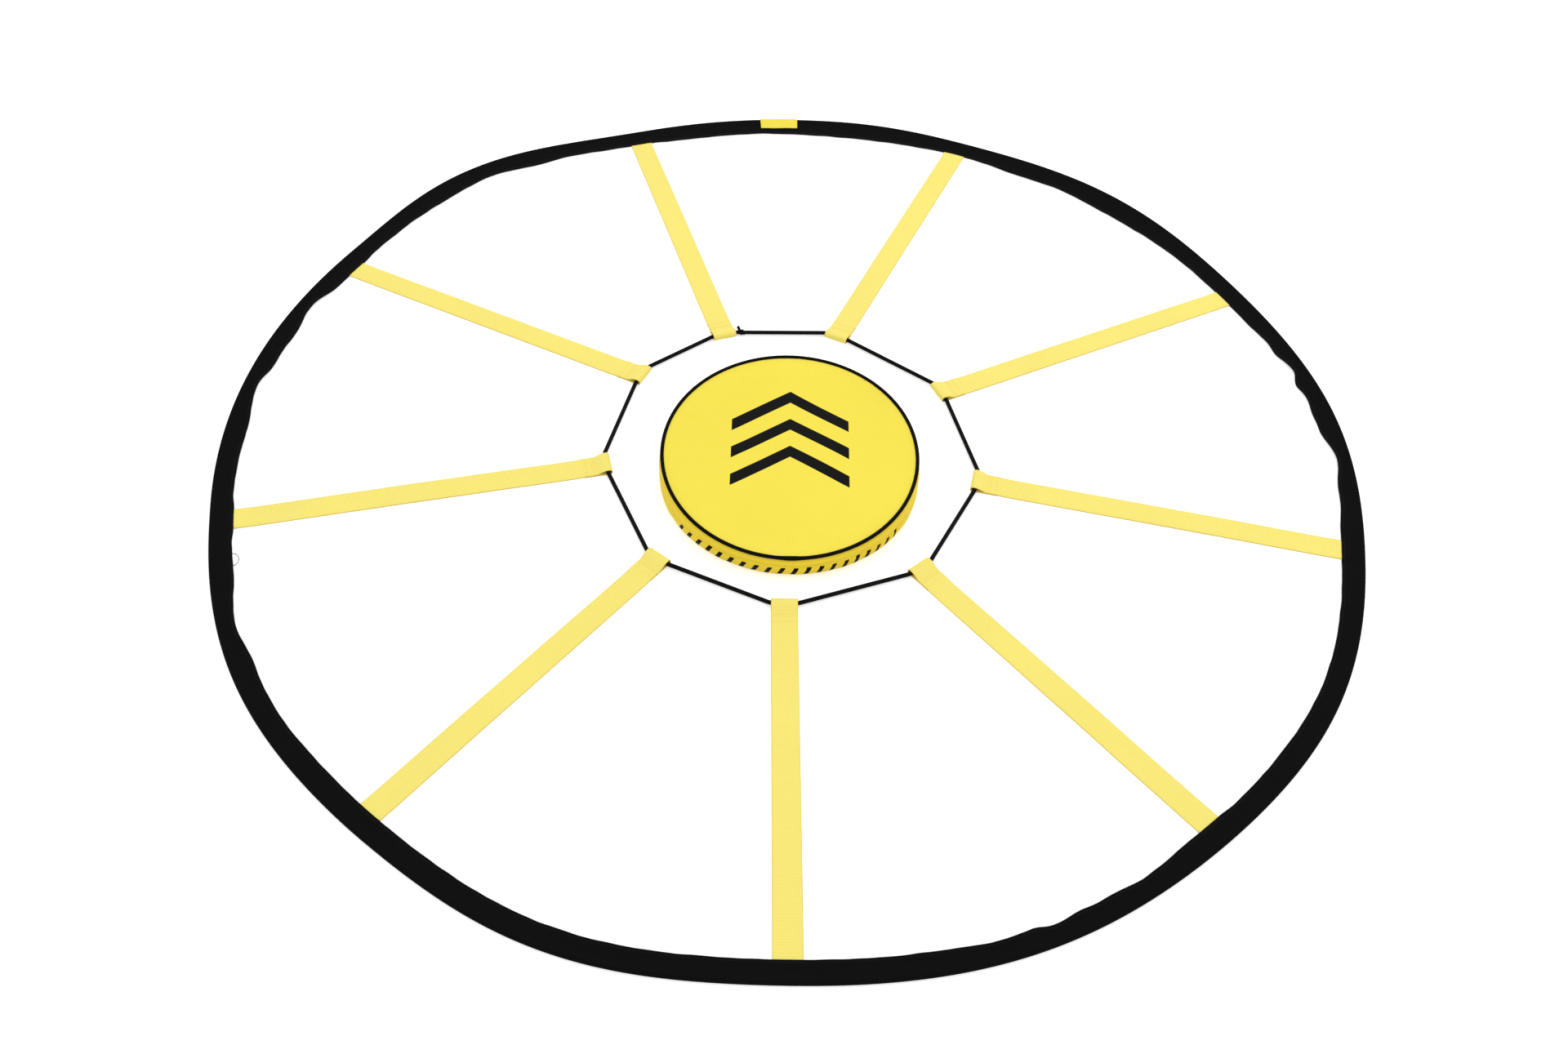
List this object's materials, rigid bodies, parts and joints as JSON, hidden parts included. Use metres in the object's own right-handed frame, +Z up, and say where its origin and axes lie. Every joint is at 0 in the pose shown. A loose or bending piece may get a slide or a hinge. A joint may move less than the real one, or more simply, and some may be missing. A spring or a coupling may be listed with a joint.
{
  "type": "circular agility ladder",
  "caption": "Round fabric-covered spring hoop that lies flat, with webbing spokes running in to an elastic centre cord, and its round zipped carry bag in the middle.",
  "frame": {"origin": "middle of the object's box on the floor that it lies on", "axes": "+Z up, -Y towards the front spoke, +X to the right as seen from there"},
  "size_m": [1.7342, 1.7342, 0.0788],
  "materials": {
    "spring_wire": "oiled spring steel",
    "ferrule": "plated steel",
    "sleeve_fabric": "matte black plain weave",
    "label_weave": "yellow damask weave, bare",
    "webbing": "yellow webbing with fine crosswise ribs",
    "cord_jacket": "black braided jacket",
    "bag_fabric": "satin yellow coated weave",
    "piping": "black piping",
    "zip_tape": "black zip tape and teeth",
    "zip_metal": "black painted slider"
  },
  "bodies": {
    "hoop": {"hoop_wire": "spring_wire", "wire_ferrule": "ferrule", "hoop_sleeve": "sleeve_fabric", "hoop_label": "label_weave", "spoke_seam_end_1": "webbing", "spoke_seam_end_2": "webbing", "spoke_seam_end_3": "webbing", "spoke_seam_end_4": "webbing", "spoke_seam_end_5": "webbing", "spoke_seam_end_6": "webbing", "spoke_seam_end_7": "webbing", "spoke_seam_end_8": "webbing", "spoke_seam_end_9": "webbing"},
    "spoke_1": {"spoke_strap_1": "webbing"},
    "spoke_2": {"spoke_strap_2": "webbing"},
    "spoke_3": {"spoke_strap_3": "webbing"},
    "spoke_4": {"spoke_strap_4": "webbing"},
    "spoke_5": {"spoke_strap_5": "webbing"},
    "spoke_6": {"spoke_strap_6": "webbing"},
    "spoke_7": {"spoke_strap_7": "webbing"},
    "spoke_8": {"spoke_strap_8": "webbing"},
    "spoke_9": {"spoke_strap_9": "webbing"},
    "centre": {"centre_cord": "cord_jacket", "cord_knot": "cord_jacket"},
    "bag": {"bag_base_panel": "bag_fabric", "bag_gusset": "bag_fabric", "bag_top_panel": "bag_fabric", "bag_piping": "piping", "zip_tape_lower": "zip_tape"},
    "bag_lid": {"bag_lid_panel": "bag_fabric", "bag_lid_gusset": "bag_fabric", "bag_lid_piping": "piping", "zip_tape_upper": "zip_tape"},
    "zip_slider": {"zip_slider": "zip_metal"},
    "zip_pull": {"zip_pull": "zip_metal"}
  },
  "joints": [
    {"name": "centre_lift", "type": "slide", "parent": "hoop", "child": "centre", "axis": [0, 0, 1], "range_m": [0, 0.04]},
    {"name": "spoke_1_lift", "type": "hinge", "parent": "hoop", "child": "spoke_1", "pos_m": [-0.00358, -0.83274, 0.0017], "axis": [0.9999, 0.014, 0], "range_deg": [0, 4.3]},
    {"name": "spoke_2_lift", "type": "hinge", "parent": "hoop", "child": "spoke_2", "pos_m": [0.53546, -0.63388, 0.0017], "axis": [0.7634, 0.6459, 0], "range_deg": [0, 4.28]},
    {"name": "spoke_3_lift", "type": "hinge", "parent": "hoop", "child": "spoke_3", "pos_m": [0.81117, -0.16111, 0.0017], "axis": [0.2105, 0.9776, 0], "range_deg": [0, 4.26]},
    {"name": "spoke_4_lift", "type": "hinge", "parent": "hoop", "child": "spoke_4", "pos_m": [0.73067, 0.39593, 0.0017], "axis": [-0.4499, 0.8931, 0], "range_deg": [0, 4.18]},
    {"name": "spoke_5_lift", "type": "hinge", "parent": "hoop", "child": "spoke_5", "pos_m": [0.29691, 0.78007, 0.0017], "axis": [-0.9149, 0.4037, 0], "range_deg": [0, 4.16]},
    {"name": "spoke_6_lift", "type": "hinge", "parent": "hoop", "child": "spoke_6", "pos_m": [-0.28047, 0.77918, 0.0017], "axis": [-0.9507, -0.31, 0], "range_deg": [0, 4.3]},
    {"name": "spoke_7_lift", "type": "hinge", "parent": "hoop", "child": "spoke_7", "pos_m": [-0.73607, 0.40329, 0.0017], "axis": [-0.4342, -0.9008, 0], "range_deg": [0, 4.23]},
    {"name": "spoke_8_lift", "type": "hinge", "parent": "hoop", "child": "spoke_8", "pos_m": [-0.81342, -0.16016, 0.0017], "axis": [0.2344, -0.9721, 0], "range_deg": [0, 4.25]},
    {"name": "spoke_9_lift", "type": "hinge", "parent": "hoop", "child": "spoke_9", "pos_m": [-0.5328, -0.64473, 0.0017], "axis": [0.7858, -0.6184, 0], "range_deg": [0, 4.24]},
    {"name": "bag_lift_off", "type": "slide", "parent": "hoop", "child": "bag", "axis": [0, 0, 1], "range_m": [0, 0.3]},
    {"name": "lid_hinge", "type": "hinge", "parent": "bag", "child": "bag_lid", "pos_m": [-0.00608, 0.03206, 0.06863], "axis": [1, 0, 0], "range_deg": [0, 110]},
    {"name": "slider_travel", "type": "hinge", "parent": "bag", "child": "zip_slider", "pos_m": [-0.00608, -0.05014, 0.02465], "axis": [0, 0, 1], "range_deg": [0, 149]},
    {"name": "pull_swing", "type": "hinge", "parent": "zip_slider", "child": "zip_pull", "pos_m": [0.18503, 0.00164, 0.02465], "axis": [0, 0, -1], "range_deg": [0, 180]}
  ],
  "couplings": [
    {"joint": "spoke_1_lift", "follows": "centre_lift", "rad_per_m": 1.8479},
    {"joint": "spoke_2_lift", "follows": "centre_lift", "rad_per_m": 1.8416},
    {"joint": "spoke_3_lift", "follows": "centre_lift", "rad_per_m": 1.8338},
    {"joint": "spoke_4_lift", "follows": "centre_lift", "rad_per_m": 1.7976},
    {"joint": "spoke_5_lift", "follows": "centre_lift", "rad_per_m": 1.7873},
    {"joint": "spoke_6_lift", "follows": "centre_lift", "rad_per_m": 1.8485},
    {"joint": "spoke_7_lift", "follows": "centre_lift", "rad_per_m": 1.8179},
    {"joint": "spoke_8_lift", "follows": "centre_lift", "rad_per_m": 1.8295},
    {"joint": "spoke_9_lift", "follows": "centre_lift", "rad_per_m": 1.8251}
  ]
}
